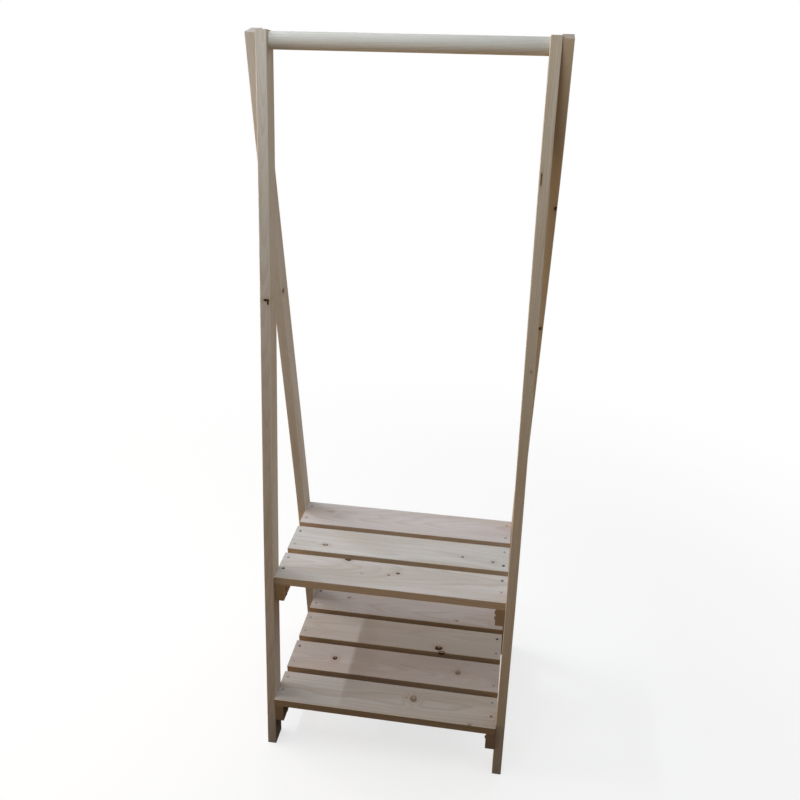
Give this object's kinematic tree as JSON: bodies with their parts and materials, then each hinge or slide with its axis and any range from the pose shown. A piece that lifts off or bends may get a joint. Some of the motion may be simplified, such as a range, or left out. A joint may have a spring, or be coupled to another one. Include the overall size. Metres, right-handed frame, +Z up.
{
  "type": "open frame wardrobe",
  "caption": "Open clothes rack in raw softwood: leaning, lapped legs carry a round hanging rail above slatted shelves for folded clothes, boxes and shoes.",
  "frame": {"origin": "on the floor under the middle of the rack", "axes": "+X to the right seen from the front, along the rail; +Y to the rear; +Z up"},
  "size_m": [0.5974, 0.4454, 1.592],
  "materials": {
    "leg_pine": "raw, planed",
    "rail_pine": "raw, turned",
    "bearer_pine": "raw, planed",
    "slat_pine": "raw, planed",
    "black_screw": "black coated steel"
  },
  "bodies": {
    "root": {"front_leg_left": "leg_pine", "front_leg_right": "leg_pine", "hanging_rail": "rail_pine", "lower_bearer_left": "bearer_pine", "lower_bearer_right": "bearer_pine", "lower_bearer_screws_left": "black_screw", "lower_bearer_screws_right": "black_screw", "lower_slat_front": "slat_pine", "lower_slat_front_inner": "slat_pine", "lower_slat_rear": "slat_pine", "lower_slat_rear_inner": "slat_pine", "lower_slat_screws_left": "black_screw", "lower_slat_screws_right": "black_screw", "rail_screw_left": "black_screw", "rail_screw_right": "black_screw", "rear_leg_left": "leg_pine", "rear_leg_right": "leg_pine", "upper_bearer_left": "bearer_pine", "upper_bearer_right": "bearer_pine", "upper_bearer_screws_left": "black_screw", "upper_bearer_screws_right": "black_screw", "upper_slat_front": "slat_pine", "upper_slat_middle": "slat_pine", "upper_slat_rear": "slat_pine", "upper_slat_screws_left": "black_screw", "upper_slat_screws_right": "black_screw"}
  },
  "joints": []
}
